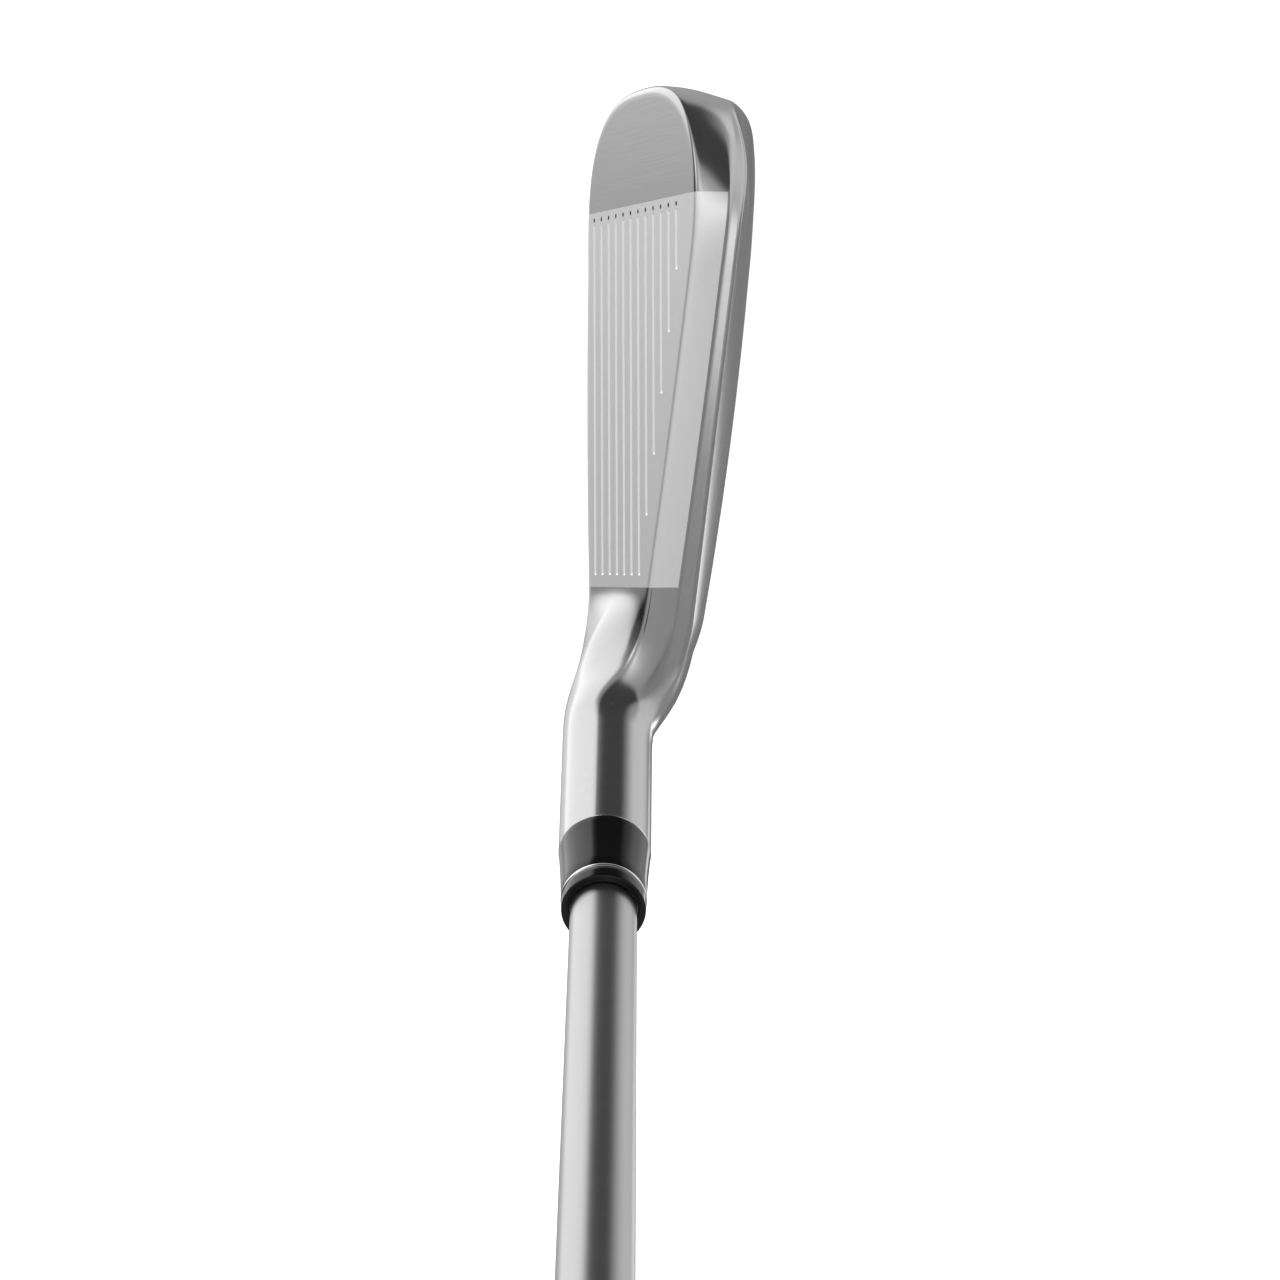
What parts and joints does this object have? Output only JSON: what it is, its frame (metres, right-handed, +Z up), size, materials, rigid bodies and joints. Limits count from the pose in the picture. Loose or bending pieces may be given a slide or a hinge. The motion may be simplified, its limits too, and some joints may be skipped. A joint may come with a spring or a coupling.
{
  "type": "hybrid golf club",
  "caption": "Right-handed iron-shaped utility golf club: hollow steel blade with grooved face, ferrule, tapered steel shaft and rubber grip.",
  "frame": {"origin": "point of the shaft axis where the hands hold the grip, 880 mm up the shaft axis from the ground", "axes": "+Z up with the club at address and its sole on the ground; +Y from heel to toe; +X from the striking face to the back, so the ball leaves towards -X"},
  "size_m": [0.0354, 0.5873, 0.8773],
  "materials": {
    "head_steel": "satin and polished forged steel",
    "face_steel": "frosted steel, blasted hitting area and fine brushed toe",
    "tungsten": "sintered tungsten alloy",
    "foam": "light closed-cell foam",
    "screw_steel": "satin",
    "ferrule_black": "gloss",
    "ring_silver": "bright",
    "shaft_chrome": "satin chrome",
    "plug": "matte",
    "tape": "paper tape",
    "grip_rubber": "textured rubber",
    "cap_rubber": "moulded rubber"
  },
  "bodies": {
    "root": {"head_body": "head_steel", "face_plate": "face_steel", "toe_weight": "tungsten", "foam_core": "foam", "port_screw": "screw_steel", "ferrule_barrel": "ferrule_black", "ferrule_ring": "ring_silver", "ferrule_nose": "ferrule_black", "shaft": "shaft_chrome", "tip_plug": "plug", "grip_tape": "tape", "grip_sleeve": "grip_rubber", "grip_cap": "cap_rubber"}
  },
  "joints": []
}
